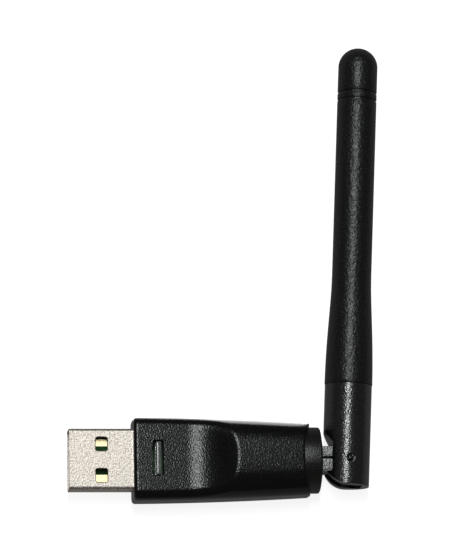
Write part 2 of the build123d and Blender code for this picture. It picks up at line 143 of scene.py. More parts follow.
def rounded(corners, steps=6):
    """An outline from (x, y, radius) corners, each corner with a radius turned into an arc."""
    outline = []
    for i, (x, y, radius) in enumerate(corners):
        here = Vector((x, y))
        before = (Vector(corners[i - 1][:2]) - here).normalized()
        after = (Vector(corners[(i + 1) % len(corners)][:2]) - here).normalized()
        if radius == 0:
            outline.append((x, y))
            continue
        half = before.angle(after) / 2
        centre = here + (before + after).normalized() * (radius / sin(half))
        start = here + before * (radius / tan(half)) - centre
        end = here + after * (radius / tan(half)) - centre
        sweep = atan2(start.x * end.y - start.y * end.x, start.dot(end))
        for k in range(steps + 1):
            turn = sweep * k / steps
            x = centre.x + start.x * cos(turn) - start.y * sin(turn)
            y = centre.y + start.x * sin(turn) + start.y * cos(turn)
            outline.append((x, y))
    return outline


def quarter_arc(radius, steps):
    """A quarter turn about the origin, from the x axis to the y axis."""
    turns = [pi / 2 * k / steps for k in range(steps + 1)]
    return [(radius * cos(turn), radius * sin(turn)) for turn in turns]


def grid_faces(rows, columns, wrap_rows, wrap_columns):
    """Quads over a grid of points stored row by row."""
    faces = []
    for i in range(rows if wrap_rows else rows - 1):
        for j in range(columns if wrap_columns else columns - 1):
            here = i * columns
            above = (i + 1) % rows * columns
            beside = (j + 1) % columns
            faces.append((here + j, here + beside, above + beside, above + j))
    return faces


def lathe(name, outline, place, along, centre=(0, 0, 0), segments=160):
    """Turns a closed outline of (distance along, radius) points about an axis, X, Y or Z."""
    points = []
    for along_axis, radius in outline:
        for j in range(segments):
            turn = 2 * pi * j / segments
            u = radius * cos(turn)
            w = radius * sin(turn)
            local = {"X": (along_axis, u, w), "Y": (w, along_axis, u), "Z": (u, w, along_axis)}
            points.append(Vector(local[along]) + Vector(centre))
    faces = grid_faces(len(outline), segments, True, True)
    return new_piece(name, points, faces, place)


def rounded_rectangle(half_x, half_y, radius, steps=6):
    """A rectangle about the origin with rounded corners."""
    corners = [(half_x, half_y), (-half_x, half_y), (-half_x, -half_y), (half_x, -half_y)]
    return rounded([(x, y, radius) for x, y in corners], steps)


def stack(name, levels, place, centre=(0, 0), smooth_angle=35):
    """A solid lofted up z through rounded rectangles: (z, half_x, half_y, corner radius)."""
    points = []
    for z, half_x, half_y, radius in levels:
        for x, y in rounded_rectangle(half_x, half_y, radius):
            points.append((centre[0] + x, centre[1] + y, z))
    columns = len(points) // len(levels)
    faces = grid_faces(len(levels), columns, False, True)
    faces.append(tuple(range(columns)))
    faces.append(tuple(range(len(points) - columns, len(points))))
    return new_piece(name, points, faces, place, smooth_angle)


def prism(name, outline, z_low, z_high, place):
    """A solid from an outline in x and y, between two heights."""
    count = len(outline)
    points = [(x, y, z) for z in (z_low, z_high) for x, y in outline]
    faces = grid_faces(2, count, False, True)
    faces.append(tuple(range(count)))
    faces.append(tuple(range(count, 2 * count)))
    return new_piece(name, points, faces, place)


# ---- Material helpers ----

GRAIN_SIZE = 0.3
DOT_SIZE = 0.24
METAL_GRAIN_SIZE = 0.25
FAINT_RELIEF = 0.006


class Shader:
    """A material's node tree, with a Principled shader and the object's own coordinates."""

    def __init__(self, name):
        self.material = bpy.data.materials.new(name)
        self.material.use_nodes = True
        self.nodes = self.material.node_tree.nodes
        self.links = self.material.node_tree.links
        self.surface = self.nodes["Principled BSDF"]
        self.coordinates = self.nodes.new("ShaderNodeTexCoord").outputs["Object"]

    def set(self, **values):
        """Sets the shader's own sockets: base_color=..., metallic=... and so on."""
        for name, value in values.items():
            socket = name.replace("_", " ").title().replace("Ior", "IOR")
            self.surface.inputs[socket].default_value = value
        return self

    def noise(self, size, detail=3.0):
        """A noise value whose blotches are about size millimetres across."""
        node = self.nodes.new("ShaderNodeTexNoise")
        node.inputs["Scale"].default_value = 1 / (size * MM)
        node.inputs["Detail"].default_value = detail
        node.inputs["Roughness"].default_value = 0.55
        self.links.new(self.coordinates, node.inputs["Vector"])
        return node.outputs["Fac"]

    def cells(self, size):
        """The distance to the second nearest of points about size millimetres apart."""
        node = self.nodes.new("ShaderNodeTexVoronoi")
        node.feature = "F2"
        node.inputs["Scale"].default_value = 1 / (size * MM)
        self.links.new(self.coordinates, node.inputs["Vector"])
        return node.outputs["Distance"]

    def colour(self, value, stops):
        """The base colour from a value, through (position, colour) stops."""
        ramp = self.nodes.new("ShaderNodeValToRGB")
        while len(ramp.color_ramp.elements) < len(stops):
            ramp.color_ramp.elements.new(0.5)
        for element, (position, colour) in zip(ramp.color_ramp.elements, stops):
            element.position = position
            element.color = (*colour, 1)
        self.links.new(value, ramp.inputs["Fac"])
        self.links.new(ramp.outputs["Color"], self.surface.inputs["Base Color"])
        return self

    def roughness(self, value, low, high, to_low, to_high):
        """The roughness from a value between low and high."""
        node = self.nodes.new("ShaderNodeMapRange")
        numbers = {"From Min": low, "From Max": high, "To Min": to_low, "To Max": to_high}
        for name, number in numbers.items():
            node.inputs[name].default_value = number
        self.links.new(value, node.inputs["Value"])
        self.links.new(node.outputs["Result"], self.surface.inputs["Roughness"])
        return self

    def bump(self, height, depth):
        """Relief from a height value, with its depth in millimetres."""
        node = self.nodes.new("ShaderNodeBump")
        node.inputs["Distance"].default_value = depth * MM
        self.links.new(height, node.inputs["Height"])
        self.links.new(node.outputs["Normal"], self.surface.inputs["Normal"])
        return self


def case_material():
    """Black plastic with a fine spark-eroded texture."""
    shader = Shader("case_plastic").set(specular_ior_level=0.4)
    grain = shader.noise(GRAIN_SIZE, detail=0.5)
    dots = shader.noise(DOT_SIZE)
    shader.colour(dots, [(0.5, (0.0035, 0.0037, 0.0036)), (0.68, (0.013, 0.0138, 0.0133))])
    shader.roughness(dots, 0.35, 0.65, 0.172, 0.222)
    return shader.bump(grain, 0.032).material


def nickel_material():
    """Bead-blasted nickel plate with a bright, warm speckle."""
    shader = Shader("plug_nickel").set(metallic=1.0)
    speckle = shader.noise(GRAIN_SIZE, detail=1.0)
    plate = [(0.34, (0.5, 0.43, 0.38)), (0.5, (0.78, 0.7, 0.64)), (0.62, (1.0, 0.91, 0.84))]
    shader.colour(speckle, plate)
    shader.roughness(shader.noise(GRAIN_SIZE), 0.3, 0.7, 0.42, 0.5)
    return shader.bump(speckle, 0.045).material


def speckled_plastic(name, dark, light, rough, depth):
    """Semi-gloss moulded plastic whose fine relief sparkles in the light."""
    shader = Shader(name).set(specular_ior_level=0.9, ior=1.66)
    grain = shader.noise(GRAIN_SIZE, detail=0.5)
    dots = shader.noise(DOT_SIZE)
    shader.colour(dots, [(0.45, dark), (0.68, light)])
    shader.roughness(dots, 0.35, 0.65, rough * 0.7, rough * 1.3)
    return shader.bump(grain, depth).material


def collar_material():
    """Dull moulded plastic, a little warmer than the case."""
    shader = Shader("collar_plastic").set(specular_ior_level=0.65)
    grain = shader.noise(GRAIN_SIZE, detail=1.0)
    shader.colour(grain, [(0.3, (0.006, 0.0052, 0.0048)), (0.7, (0.013, 0.0115, 0.0105))])
    shader.roughness(shader.noise(1.1), 0.3, 0.7, 0.32, 0.4)
    return shader.bump(grain, 0.07).material


def sheath_material():
    """Soft moulded elastomer, with a faint mottle in its sheen."""
    shader = Shader("sheath_elastomer").set(specular_ior_level=0.7)
    mottle = shader.noise(0.5, detail=1.0)
    shader.colour(mottle, [(0.3, (0.004, 0.0043, 0.0042)), (0.7, (0.009, 0.0096, 0.0093))])
    shader.roughness(mottle, 0.3, 0.7, 0.33, 0.42)
    return shader.bump(mottle, 0.12).material


def light_pipe_material():
    """Smoky, half-clear plastic."""
    shader = Shader("light_pipe_plastic")
    shader.set(specular_ior_level=0.6, transmission_weight=0.35, ior=1.5)
    haze = shader.noise(0.6)
    shader.colour(haze, [(0.3, (0.2, 0.21, 0.21)), (0.7, (0.3, 0.31, 0.31))])
    return shader.roughness(haze, 0.3, 0.7, 0.14, 0.22).material


def board_material():
    """Green solder mask over a faint pattern of copper."""
    shader = Shader("board_green").set(specular_ior_level=0.15)
    traces = shader.cells(1.4)
    mask = [(0.3, (0.01, 0.05, 0.015)), (0.5, (0.03, 0.12, 0.03)), (0.8, (0.018, 0.08, 0.022))]
    shader.colour(traces, mask)
    shader.roughness(shader.noise(0.4), 0.3, 0.7, 0.5, 0.62)
    return shader.bump(traces, 0.01).material


def metal_material(name, dark, light, rough):
    """Bare or plated metal with fine grain."""
    shader = Shader(name).set(metallic=1.0)
    grain = shader.noise(METAL_GRAIN_SIZE)
    shader.colour(grain, [(0.35, dark), (0.65, light)])
    shader.roughness(grain, 0.3, 0.7, rough - 0.06, rough + 0.08)
    return shader.bump(grain, FAINT_RELIEF).material


def plain_plastic(name, dark, light, rough):
    """Moulded plastic with a faint grain."""
    shader = Shader(name).set(specular_ior_level=0.5)
    grain = shader.noise(GRAIN_SIZE)
    shader.colour(grain, [(0.35, dark), (0.65, light)])
    shader.roughness(grain, 0.3, 0.7, rough - 0.05, rough + 0.05)
    return shader.bump(grain, FAINT_RELIEF).material


KNUCKLE_DARK = (0.007, 0.0068, 0.0065)
KNUCKLE_LIGHT = (0.03, 0.029, 0.028)
SLEEVE_DARK = (0.002, 0.002, 0.002)
SLEEVE_LIGHT = (0.02, 0.02, 0.02)

MATERIALS = {
    "case_black": case_material(),
    "plug_nickel": nickel_material(),
    "spacer_black": plain_plastic("spacer_plastic", (0.01, 0.009, 0.009), (0.02, 0.018, 0.017), 0.5),
    "board_green": board_material(),
    "contact_gold": metal_material("contact_gold", (0.72, 0.56, 0.3), (0.95, 0.84, 0.56), 0.32),
    "light_pipe_clear": light_pipe_material(),
    "led_white": plain_plastic("led_plastic", (0.6, 0.59, 0.52), (0.75, 0.74, 0.66), 0.35),
    "chip_black": plain_plastic("chip_epoxy", (0.01, 0.01, 0.011), (0.02, 0.02, 0.022), 0.55),
    "can_steel": metal_material("can_steel", (0.55, 0.55, 0.56), (0.7, 0.7, 0.71), 0.3),
    "capacitor_tan": plain_plastic("capacitor_ceramic", (0.25, 0.16, 0.09), (0.36, 0.25, 0.15), 0.5),
    "solder_tin": metal_material("solder_tin", (0.6, 0.6, 0.62), (0.75, 0.75, 0.77), 0.2),
    "coax_jacket": plain_plastic("coax_jacket", (0.01, 0.01, 0.01), (0.02, 0.02, 0.02), 0.35),
    "washer_steel": metal_material("washer_steel", (0.42, 0.42, 0.43), (0.55, 0.55, 0.56), 0.35),
    "collar_grey": collar_material(),
    "knuckle_dark": speckled_plastic("knuckle_plastic", KNUCKLE_DARK, KNUCKLE_LIGHT, 0.36, 0.06),
    "sleeve_black": speckled_plastic("sleeve_plastic", SLEEVE_DARK, SLEEVE_LIGHT, 0.24, 0.055),
    "pin_steel": metal_material("pin_steel", (0.03, 0.029, 0.028), (0.07, 0.068, 0.065), 0.26),
    "sheath_elastomer": sheath_material(),
    "brass_tube": metal_material("brass_tube", (0.55, 0.38, 0.14), (0.72, 0.54, 0.24), 0.28),
    "wire_copper": metal_material("wire_copper", (0.6, 0.35, 0.2), (0.75, 0.45, 0.28), 0.3),
    "shrink_black": plain_plastic("shrink_tube", (0.01, 0.01, 0.01), (0.02, 0.02, 0.02), 0.5),
}


def finish_piece(piece, slot, body, *nodes):
    """Gives a piece the material of a record slot, attaches it to its body and hides the CAD nodes it stands for.
    """
    piece.data.materials.clear()
    piece.data.materials.append(MATERIALS[slot])
    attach(piece, body)
    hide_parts(*nodes)


# ---- Case ----

CASE_LENGTH = 34.6
HALF_WIDTHS = ((0.0, 8.19), (18.0, 7.79), (CASE_LENGTH, 7.0))
THIN_HALF_T = 4.0
THICK_HALF_T = 6.5
RAMP_START = 10.15
RAMP_END = 19.75
RAMP_RISE = 2.3
RAMP_R = ((RAMP_END - RAMP_START) ** 2 + RAMP_RISE**2) / (2 * RAMP_RISE)
# The run over which the ramp is followed: its lip comes well before that.
RAMP_LONGEST = RAMP_R * 0.6
# From here on the cross-sections shift with the bulged end.
THICK_START = 20.8
CROWN_R = 24.0
FRONT_FLANK_R = 5.0
BACK_FLANK_R = 4.2
FACE_EDGE_R = 1.1
LIP_BLEND = 0.24
END_BULGE = 1.76
END_EDGE_R = 0.7
WALL = 1.1
PARTING_GROOVE = 0.13
BULKHEAD_START = 31.2
BULKHEAD_END = 32.9
SEAT_R = 6.5
BORE_R = 3.56
RIM_EDGE = 0.12
RIM_EDGE_MIDDLE = 0.3 * RIM_EDGE
SEAT_WALL = 0.02
MOUTH_EDGE = 0.1
INNER_STATIONS = 24
PLUG_HALF_WIDTH = 6.0
PLUG_HALF_HEIGHT = 2.25
PLUG_CORNER_R = 0.7
# Longer than any way from the long axis to the case's skin or to the plug's surface.
CASE_REACH = 14.0
PLUG_REACH = 9.0
HALVINGS = 34
# Directions round a section are spread as on an ellipse about as flat as the case.
SPREAD_Y = 8.0
SPREAD_Z = 5.0
# Turns up from the parting line: close together beside it, then even (from, to, how many).
PARTING_TURNS = (0, 0.004, 0.008, 0.012, 0.016, 0.022, 0.03, 0.042)
EVEN_TURNS = (0.06, pi / 2, 84)
# Places along the case, closer together at its rounded end edge and at the lip (from, to, how many).
STATIONS = ((0.0, 0.5, 12), (0.7, 18.6, 90), (18.65, 20.6, 56), (THICK_START, CASE_LENGTH, 60))


def half_width(x):
    """The case's half width: one smooth arc through three widths."""
    (x0, w0), (x1, w1), (x2, w2) = HALF_WIDTHS
    return (
        w0 * (x - x1) * (x - x2) / ((x0 - x1) * (x0 - x2))
        + w1 * (x - x0) * (x - x2) / ((x1 - x0) * (x1 - x2))
        + w2 * (x - x0) * (x - x1) / ((x2 - x0) * (x2 - x1))
    )


def round_max(a, b, radius):
    """The larger of two distances, with a rounded edge where they meet."""
    corner = np.hypot(np.maximum(a + radius, 0), np.maximum(b + radius, 0))
    return np.minimum(np.maximum(a, b), -radius) + corner


def smooth_min(a, b, blend):
    """The smaller of two heights, with a rounded crest where they meet."""
    near = np.maximum(blend - np.abs(a - b), 0) / blend
    return np.minimum(a, b) - near * near * blend / 4


def ramp_height(x):
    """The half thickness of the thin end and its concave ramp."""
    run = np.clip(x - RAMP_START, 0, RAMP_LONGEST)
    return THIN_HALF_T + RAMP_R - np.sqrt(RAMP_R**2 - run**2)


def face_height(x, y, z):
    """The height of the front or back face over the middle plane, with its rounded lip."""
    crown = np.where(z > 0, THICK_HALF_T - y**2 / (2 * CROWN_R), THICK_HALF_T)
    return smooth_min(ramp_height(x), crown, LIP_BLEND)


def outside_case(x, y, z, inset=0.0):
    """How far a point is outside the case's skin, or the skin moved in by inset."""
    flank_r = np.where(z > 0, FRONT_FLANK_R, BACK_FLANK_R)
    over_y = np.abs(y) - (half_width(x) - flank_r)
    over_z = np.abs(z) - (THICK_HALF_T - flank_r)
    corner = np.hypot(np.maximum(over_y, 0), np.maximum(over_z, 0))
    block = corner + np.minimum(np.maximum(over_y, over_z), 0) - flank_r
    face = np.abs(z) - face_height(x, y, z)
    skin = round_max(block, face, FACE_EDGE_R)
    if inset == 0:
        skin = round_max(skin, -x, END_EDGE_R)
        skin = skin + np.maximum(PARTING_GROOVE - np.abs(z), 0)
    return skin + inset


def outside_plug(y, z):
    """How far a point is outside the plug's rounded rectangle."""
    over_y = np.abs(y) - (PLUG_HALF_WIDTH - PLUG_CORNER_R)
    over_z = np.abs(z) - (PLUG_HALF_HEIGHT - PLUG_CORNER_R)
    corner = np.hypot(np.maximum(over_y, 0), np.maximum(over_z, 0))
    return corner + np.minimum(np.maximum(over_y, over_z), 0) - PLUG_CORNER_R


def distance_by_halving(outside, y_way, z_way, reach):
    """How far a section's edge is from the long axis, along each direction."""
    near = np.zeros_like(y_way)
    far = near + reach
    for _ in range(HALVINGS):
        middle = (near + far) / 2
        is_outside = outside(y_way * middle, z_way * middle) > 0
        far = np.where(is_outside, middle, far)
        near = np.where(is_outside, near, middle)
    return (near + far) / 2


def distance_to_skin(x, y_way, z_way, inset=0.0):
    """How far the case's skin is from the long axis at x, along each direction."""
    return distance_by_halving(lambda y, z: outside_case(x, y, z, inset), y_way, z_way, CASE_REACH)


def distance_to_plug(y_way, z_way):
    """How far the plug's surface is from the long axis, along each direction."""
    return distance_by_halving(outside_plug, y_way, z_way, PLUG_REACH)


def section_turns():
    """Turns round half a section, closer together beside the parting line."""
    quarter = np.concatenate([PARTING_TURNS, np.linspace(*EVEN_TURNS)])
    return np.concatenate([quarter, pi - quarter[-2::-1]])


def cover_mesh(name, side):
    """One hollow half of the case, from its outer skin to its inner walls; side is +1 or -1."""
    turns = section_turns()
    y_way = SPREAD_Y * np.cos(turns)
    z_way = side * SPREAD_Z * np.sin(turns)
    length = np.hypot(y_way, z_way)
    y_way = y_way / length
    z_way = z_way / length
    ones = np.ones_like(y_way)
    rows = []

    def row(x, radius):
        rows.append(np.stack([x * ones, y_way * radius, z_way * radius], axis=1))

    end_radius = distance_to_skin(CASE_LENGTH * ones, y_way, z_way)
    end_height = np.minimum(np.abs(z_way * end_radius), THICK_HALF_T)
    rim_x = CASE_LENGTH - END_BULGE * (end_height / THICK_HALF_T) ** 2
    plug_radius = distance_to_plug(y_way, z_way)
    row(WALL, plug_radius)
    row(MOUTH_EDGE, plug_radius)
    row(0.0, plug_radius + MOUTH_EDGE)
    for x in np.concatenate([np.linspace(*stretch) for stretch in STATIONS]):
        share = max(0.0, (x - THICK_START) / (CASE_LENGTH - THICK_START))
        at = x + share * (rim_x - RIM_EDGE - CASE_LENGTH)
        row(at, distance_to_skin(at * ones, y_way, z_way))
    outer = distance_to_skin(rim_x, y_way, z_way)
    seat_x = np.minimum(rim_x, BULKHEAD_END)
    seat_r = np.minimum(SEAT_R, outer - RIM_EDGE - SEAT_WALL)
    row(rim_x - RIM_EDGE_MIDDLE, outer - RIM_EDGE_MIDDLE)
    row(rim_x, outer - RIM_EDGE)
    row(rim_x, seat_r)
    row(seat_x, seat_r)
    row(seat_x, BORE_R * ones)
    row(BULKHEAD_START, BORE_R * ones)
    for x in np.linspace(BULKHEAD_START, WALL, INNER_STATIONS):
        row(x, distance_to_skin(x * ones, y_way, z_way, WALL))
    points = np.concatenate(rows)
    columns = len(turns)
    faces = grid_faces(len(rows), columns, True, False)
    faces.append(tuple(range(0, len(points), columns)))
    faces.append(tuple(range(columns - 1, len(points), columns)))
    return new_piece(name, [tuple(p) for p in points], faces, CASE, smooth_angle=30)


SLOT_X = 4.7
SLOT_HALF_LENGTH = 0.975
SLOT_HALF_WIDTH = 3.4
SLOT_CORNER = 0.3
SLOT_BOTTOM = 1.0
# The slot's rounded edge: how much wider it is at each height.
SLOT_FLARE = ((0.0, 3.86), (0.03, 3.92), (0.08, 3.97), (0.16, 4.02), (0.3, 4.4))


def make_covers():
    """Both halves of the case, with the indicator's slot in the front one."""
    front = cover_mesh("case_front", 1)
    levels = [(SLOT_BOTTOM, SLOT_HALF_LENGTH, SLOT_HALF_WIDTH, SLOT_CORNER)]
    for out, z in SLOT_FLARE:
        levels.append((z, SLOT_HALF_LENGTH + out, SLOT_HALF_WIDTH + out, SLOT_CORNER + out))
    cut(front, [stack("slot_cutter", levels, CASE, (SLOT_X, 0))], smooth_angle=30)
    finish_piece(front, "case_black", "housing", "front_cover")
    back = cover_mesh("case_back", -1)
    finish_piece(back, "case_black", "housing", "back_cover")


PIPE_X = 4.86
PIPE_HALF_LENGTH = 0.5
PIPE_HALF_WIDTH = 3.22
PIPE_CORNER = 0.2
PIPE_CORNER_LEAST = 0.01
PIPE_BOTTOM = 1.0
PIPE_FLANGE = 0.15
PIPE_FLANGE_LOW = 1.6
PIPE_FLANGE_HIGH = 2.1
PIPE_SHOULDER = 3.64
PIPE_EDGE = 0.06
PIPE_CROWN = 0.045
PIPE_CROWN_SHARES = (0.1, 0.2, 0.35, 0.5, 0.65, 0.8, 0.97)


def make_light_pipe():
    """The indicator's bar: a foot behind the cover and a slightly domed top in the slot."""
    x = PIPE_HALF_LENGTH
    y = PIPE_HALF_WIDTH
    foot_x = x + PIPE_FLANGE
    foot_y = y + PIPE_FLANGE
    levels = [
        (PIPE_BOTTOM, x, y, PIPE_CORNER),
        (PIPE_FLANGE_LOW, x, y, PIPE_CORNER),
        (PIPE_FLANGE_LOW, foot_x, foot_y, PIPE_CORNER),
        (PIPE_FLANGE_HIGH, foot_x, foot_y, PIPE_CORNER),
        (PIPE_FLANGE_HIGH, x, y, PIPE_CORNER),
        (PIPE_SHOULDER, x, y, PIPE_CORNER),
    ]
    for share in PIPE_CROWN_SHARES:
        inset = share * x
        rise = PIPE_CROWN * (1 - (1 - share) ** 2)
        corner = max(PIPE_CORNER - inset, PIPE_CORNER_LEAST)
        levels.append((PIPE_SHOULDER + PIPE_EDGE + rise, x - inset, y - inset, corner))
    pipe = stack("light_pipe_bar", levels, CASE, (PIPE_X, 0), smooth_angle=45)
    finish_piece(pipe, "light_pipe_clear", "housing", "light_pipe")


# ---- USB plug ----

SHELL_OUT = 12.5
SHELL_TAIL = 3.2
SHELL_WALL = 0.3
WINDOW_HALF_LENGTH = 1.15
WINDOW_HALF_WIDTH = 1.35
WINDOW_X = -6.15
WINDOW_YS = (2.93, -3.2)
WINDOW_CORNER = 0.45
WINDOW_BOTTOM = 1.6
# The windows' rounded edge: how much wider they are at each height over the shell's face.
WINDOW_FLARE = ((0.0, -0.16), (0.02, -0.1), (0.07, -0.04), (0.15, 0.0), (0.2, 0.5))
# The shell's rolled mouth: the distance from its front and the depth into its wall.
MOUTH_ROLL = ((0.12, 0.0), (0.035, 0.035), (0.0, 0.12), (0.0, 0.2), (0.04, 0.27), (0.12, SHELL_WALL))


def make_plug_shell():
    """The folded metal shell with rolled mouth edges and two latch windows in each broad face."""
    mouth = [(-SHELL_OUT + back, inset) for back, inset in MOUTH_ROLL]
    profile = [(SHELL_TAIL, 0.0), *mouth, (SHELL_TAIL, SHELL_WALL)]
    points = []
    for x, inset in profile:
        half_y = PLUG_HALF_WIDTH - inset
        half_z = PLUG_HALF_HEIGHT - inset
        section = rounded_rectangle(half_y, half_z, PLUG_CORNER_R - inset, steps=8)
        points += [(x, y, z) for y, z in section]
    faces = grid_faces(len(profile), len(points) // len(profile), True, True)
    shell = new_piece("plug_shell_folded", points, faces, CASE, smooth_angle=30)
    cutters = []
    for side in (1, -1):
        levels = [(side * WINDOW_BOTTOM, WINDOW_HALF_LENGTH, WINDOW_HALF_WIDTH, WINDOW_CORNER)]
        for out, above in WINDOW_FLARE:
            z = side * (PLUG_HALF_HEIGHT + above)
            levels.append((z, WINDOW_HALF_LENGTH + out, WINDOW_HALF_WIDTH + out, WINDOW_CORNER + out))
        for y in WINDOW_YS:
            cutters.append(stack("window_cutter", levels, CASE, (WINDOW_X, y)))
    cut(shell, cutters, smooth_angle=30)
    flatten_broad_faces(shell)
    finish_piece(shell, "plug_nickel", "housing", "plug_shell")


# ---- Swivel and hinge ----

COLLAR_R = 6.46
COLLAR_START = 32.95
COLLAR_RIM = 36.4
COLLAR_FACE = 37.08
COLLAR_RIM_R = 0.35
COLLAR_BACK_R = 0.15
DOME_STEPS = 13
NECK_R = 3.5
FLANGE_R = 4.6
FLANGE_START = 29.8
FLANGE_END = 30.85
FLANGE_EDGE_R = 0.1
SOCKET_START = 33.4
SOCKET_END = 60.0
SOCKET_GAP = 0.03
SOCKET_CORNER = 0.05
TONGUE_R = 2.57
TONGUE_HALF_T = 2.15
SPLIT_Y = 0.35
SPLIT_GAP = 0.24
TONGUE_EDGE = 0.2
PIN_X = (PIN.x - CASE_START) / MM
PIN_R = 0.75
PIN_HALF_LENGTH = 4.15
PIN_NECK_R = 0.52
PIN_NECK_LENGTH = 0.9
PIN_TIP_R = 0.3
PIN_CLEARANCE = 0.05
BORE_REACH = 4


def make_collar():
    """The domed disc that swivels in the case's end, with the socket for the tongue."""
    dome = []
    for k in range(1, DOME_STEPS):
        share = k / DOME_STEPS
        dome.append((COLLAR_FACE - (COLLAR_FACE - COLLAR_RIM) * share**2, COLLAR_R * share, 0))
    corners = [
        (FLANGE_START, 0.0, 0),
        (COLLAR_FACE, 0.0, 0),
        *dome,
        (COLLAR_RIM, COLLAR_R, COLLAR_RIM_R),
        (COLLAR_START, COLLAR_R, COLLAR_BACK_R),
        (COLLAR_START, NECK_R, 0),
        (FLANGE_END, NECK_R, 0),
        (FLANGE_END, FLANGE_R, FLANGE_EDGE_R),
        (FLANGE_START, FLANGE_R, FLANGE_EDGE_R),
    ]
    collar = lathe("collar_turned", rounded(corners, steps=5), CASE, "X")
    half_length = (SOCKET_END - SOCKET_START) / 2
    socket = rounded_rectangle(half_length, TONGUE_R + SOCKET_GAP, SOCKET_CORNER, steps=2)
    outline = [(x + (SOCKET_END + SOCKET_START) / 2, y) for x, y in socket]
    half_t = TONGUE_HALF_T + SOCKET_GAP
    cut(collar, [prism("socket_cutter", outline, -half_t, half_t, CASE)])
    finish_piece(collar, "collar_grey", "knuckle", "swivel_collar")


def tongue_outline(side):
    """Half of the tongue seen along the pin, on one side of the split."""
    edge = SPLIT_Y + side * SPLIT_GAP / 2
    start = atan2(edge, sqrt(TONGUE_R**2 - edge**2))
    outline = [(SOCKET_START, side * TONGUE_R), (SOCKET_START, edge)]
    for k in range(ARC_STEPS + 1):
        turn = start + (side * pi / 2 - start) * k / ARC_STEPS
        outline.append((PIN_X + TONGUE_R * cos(turn), TONGUE_R * sin(turn)))
    return outline


def make_tongue(side, name, node):
    """Half of the hinge tongue, bored for the pin; side is +1 or -1."""
    half = prism(name, tongue_outline(side), -TONGUE_HALF_T, TONGUE_HALF_T, CASE)
    round_edges(half, TONGUE_EDGE, angle=50)
    bore_r = PIN_R + PIN_CLEARANCE
    bore = [(-BORE_REACH, 0), (-BORE_REACH, bore_r), (BORE_REACH, bore_r), (BORE_REACH, 0)]
    cut(half, [lathe("bore_cutter", bore, CASE, "Z", (PIN_X, 0, 0), segments=48)])
    finish_piece(half, "knuckle_dark", "knuckle", node)


def make_pin():
    """The hinge pin, with a slimmer, rounded neck at each recessed end."""
    neck = PIN_HALF_LENGTH - PIN_NECK_LENGTH
    corners = [
        (-PIN_HALF_LENGTH, 0.0, 0),
        (-PIN_HALF_LENGTH, PIN_NECK_R, PIN_TIP_R),
        (-neck, PIN_NECK_R, 0),
        (-neck, PIN_R, 0),
        (neck, PIN_R, 0),
        (neck, PIN_NECK_R, 0),
        (PIN_HALF_LENGTH, PIN_NECK_R, PIN_TIP_R),
        (PIN_HALF_LENGTH, 0.0, 0),
    ]
    pin = lathe("hinge_pin_turned", rounded(corners, steps=4), ANTENNA, "Z", segments=64)
    finish_piece(pin, "pin_steel", "antenna", "hinge_pin")


# ---- Antenna ----

SLEEVE_R = 4.6
SLEEVE_OFFSET = -0.36
BARREL_AXIS = (SLEEVE_OFFSET, 0, 0)
SLEEVE_BOTTOM = -5.1
SLEEVE_TOP = 14.8
SLEEVE_FOOT_R = 0.06
SLEEVE_SEAM_R = 0.12
# Extra rings along the barrel, which keep its shading even round the pin's hole.
SLEEVE_RINGS = range(-4, 14)
SLOT_HALF_T = 2.25
SLOT_CLEAR_R = 2.72
CHEEK_X = -3.4
CHEEK_TOP = 3.0
CHEEK_BOTTOM = -2.5
NOTCH_TOP = 5.2
NOTCH_BOTTOM = -2.75
NOTCH_OVER = 2.0
SPIGOT_R = 3.1
SPIGOT_TOP = 23.0
SPIGOT_EDGE_R = 0.2
CORE_R = 1.2
RECESS_R = 0.92
RECESS_OVER = 0.5
SLEEVE_EDGE = 0.05
FAR = 20.0


def make_sleeve():
    """The rigid sleeve: a barrel slotted for the tongue, notched beside the collar."""
    corners = [
        (SLEEVE_BOTTOM, CORE_R, 0),
        (SLEEVE_BOTTOM, SLEEVE_R, SLEEVE_FOOT_R),
        *((height, SLEEVE_R, 0) for height in SLEEVE_RINGS),
        (SLEEVE_TOP, SLEEVE_R, SLEEVE_SEAM_R),
        (SLEEVE_TOP, SPIGOT_R, 0),
        (SPIGOT_TOP, SPIGOT_R, SPIGOT_EDGE_R),
        (SPIGOT_TOP, CORE_R, 0),
    ]
    outline = rounded(corners, steps=4)
    sleeve = lathe("sleeve_moulded", outline, ANTENNA, "Y", BARREL_AXIS, segments=128)
    arc = quarter_arc(SLOT_CLEAR_R, ARC_STEPS // 2)
    slot = [(-FAR, -FAR), (SLOT_CLEAR_R, -FAR), *arc, (-FAR, SLOT_CLEAR_R)]
    left = SLEEVE_OFFSET - SLEEVE_R
    notch = [
        (CHEEK_X, CHEEK_TOP),
        (left, NOTCH_TOP),
        (left - NOTCH_OVER, NOTCH_TOP + NOTCH_OVER / 2),
        (left - NOTCH_OVER, NOTCH_BOTTOM - NOTCH_OVER / 8),
        (left, NOTCH_BOTTOM),
        (CHEEK_X, CHEEK_BOTTOM),
    ]
    corner = [(-y, -x) for x, y in quarter_arc(-SLEEVE_BOTTOM, ARC_STEPS)]
    corner += [(-FAR, 0), (-FAR, -FAR), (0, -FAR)]
    cutters = [
        prism("slot_cutter", slot, -SLOT_HALF_T, SLOT_HALF_T, ANTENNA),
        prism("notch_cutter", notch, -FAR, FAR, ANTENNA),
        prism("corner_cutter", corner, -FAR, FAR, ANTENNA),
    ]
    cut(sleeve, cutters, smooth_angle=40)
    round_edges(sleeve, SLEEVE_EDGE, angle=42)
    neck = PIN_HALF_LENGTH - PIN_NECK_LENGTH
    end = PIN_HALF_LENGTH + RECESS_OVER
    recess = [(0, 0), (0, PIN_R), (neck, PIN_R), (neck, RECESS_R), (end, RECESS_R), (end, 0)]
    holes = []
    for side in (1, -1):
        outline = [(side * z, radius) for z, radius in recess]
        holes.append(lathe("hole_cutter", outline, ANTENNA, "Z", segments=64))
    cut(sleeve, holes, smooth_angle=40)
    finish_piece(sleeve, "sleeve_black", "antenna", "antenna_sleeve")


